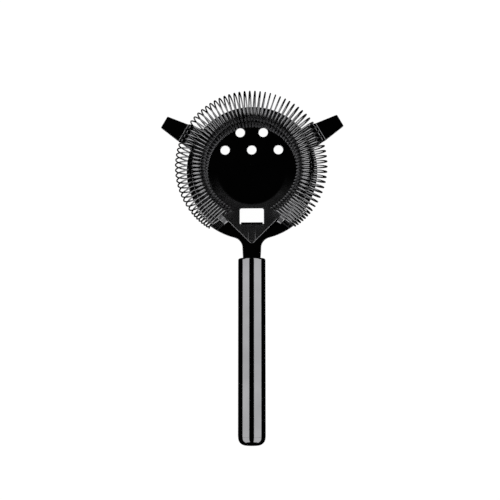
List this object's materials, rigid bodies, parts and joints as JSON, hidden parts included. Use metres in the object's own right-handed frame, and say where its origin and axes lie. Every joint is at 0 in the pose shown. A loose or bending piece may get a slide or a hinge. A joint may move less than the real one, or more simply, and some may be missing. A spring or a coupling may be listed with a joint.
{
  "type": "hawthorne strainer",
  "caption": "Hawthorne cocktail strainer: a round perforated plate with two rim ears, a loop of coil spring, a finger tongue and a tubular handle.",
  "frame": {"origin": "on the axis of the mixing tin's mouth, in the plane of its rim, which is the plane of the ears' spring-side faces", "axes": "+Y from the handle to the head, +Z out of the spring side of the plate (up as the strainer lies on its back), +X to the right seen from the spring side"},
  "size_m": [0.1018, 0.1929, 0.0256],
  "materials": {
    "plate": "black mirror-polished coating on stamped stainless steel",
    "spring": "black bright-drawn spring wire",
    "handle": "black mirror-polished coating on stainless steel tube",
    "plug": "black coated, turned",
    "pin": "plain turned steel"
  },
  "bodies": {
    "frame": {"strainer_plate": "plate", "handle_tube": "handle", "handle_front_plug": "plug", "tang_pin": "pin", "handle_end_cap": "handle"},
    "spring": {"coil_spring": "spring"}
  },
  "joints": [
    {"name": "spring_slide", "type": "slide", "parent": "frame", "child": "spring", "axis": [0, -1, 0], "range_m": [0, 0.004], "stiffness_N_per_m": 600, "deforming": ["coil_spring"]}
  ]
}
